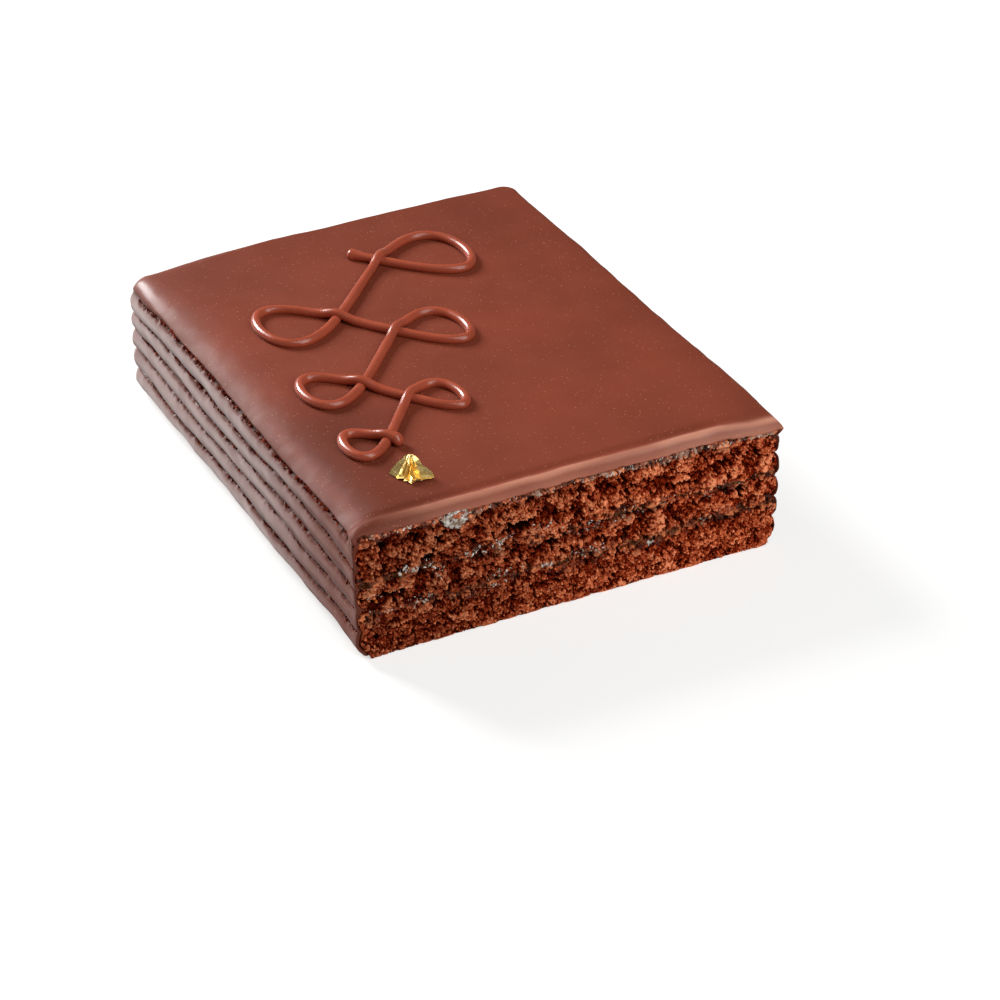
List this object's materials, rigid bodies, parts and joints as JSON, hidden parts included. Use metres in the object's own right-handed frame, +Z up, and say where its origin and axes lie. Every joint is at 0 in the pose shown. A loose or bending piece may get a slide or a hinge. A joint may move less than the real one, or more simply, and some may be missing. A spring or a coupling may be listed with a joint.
{
  "type": "sachertorte",
  "caption": "Cut rectangular chocolate cake: torn sponge and apricot jam layers, ribbed glazed sides, a piped garland of loops and a flake of gold leaf on the flat top.",
  "frame": {"origin": "middle of the underside, on the surface that the cake stands on", "axes": "+Y runs from the cut face to the back, along the length; +X to the right seen from the cut face; +Z up"},
  "size_m": [0.1365, 0.172, 0.0472],
  "materials": {
    "sponge": "open crumb, matte, moist",
    "jam": "wet and glossy",
    "glaze": "satin chocolate glaze",
    "gold": "crumpled leaf, bright"
  },
  "bodies": {
    "root": {"sponge_base": "sponge", "jam_lower": "jam", "sponge_middle": "sponge", "jam_upper": "jam", "sponge_top": "sponge", "jam_coat": "jam", "glaze": "glaze", "gold_leaf": "gold"}
  },
  "joints": []
}
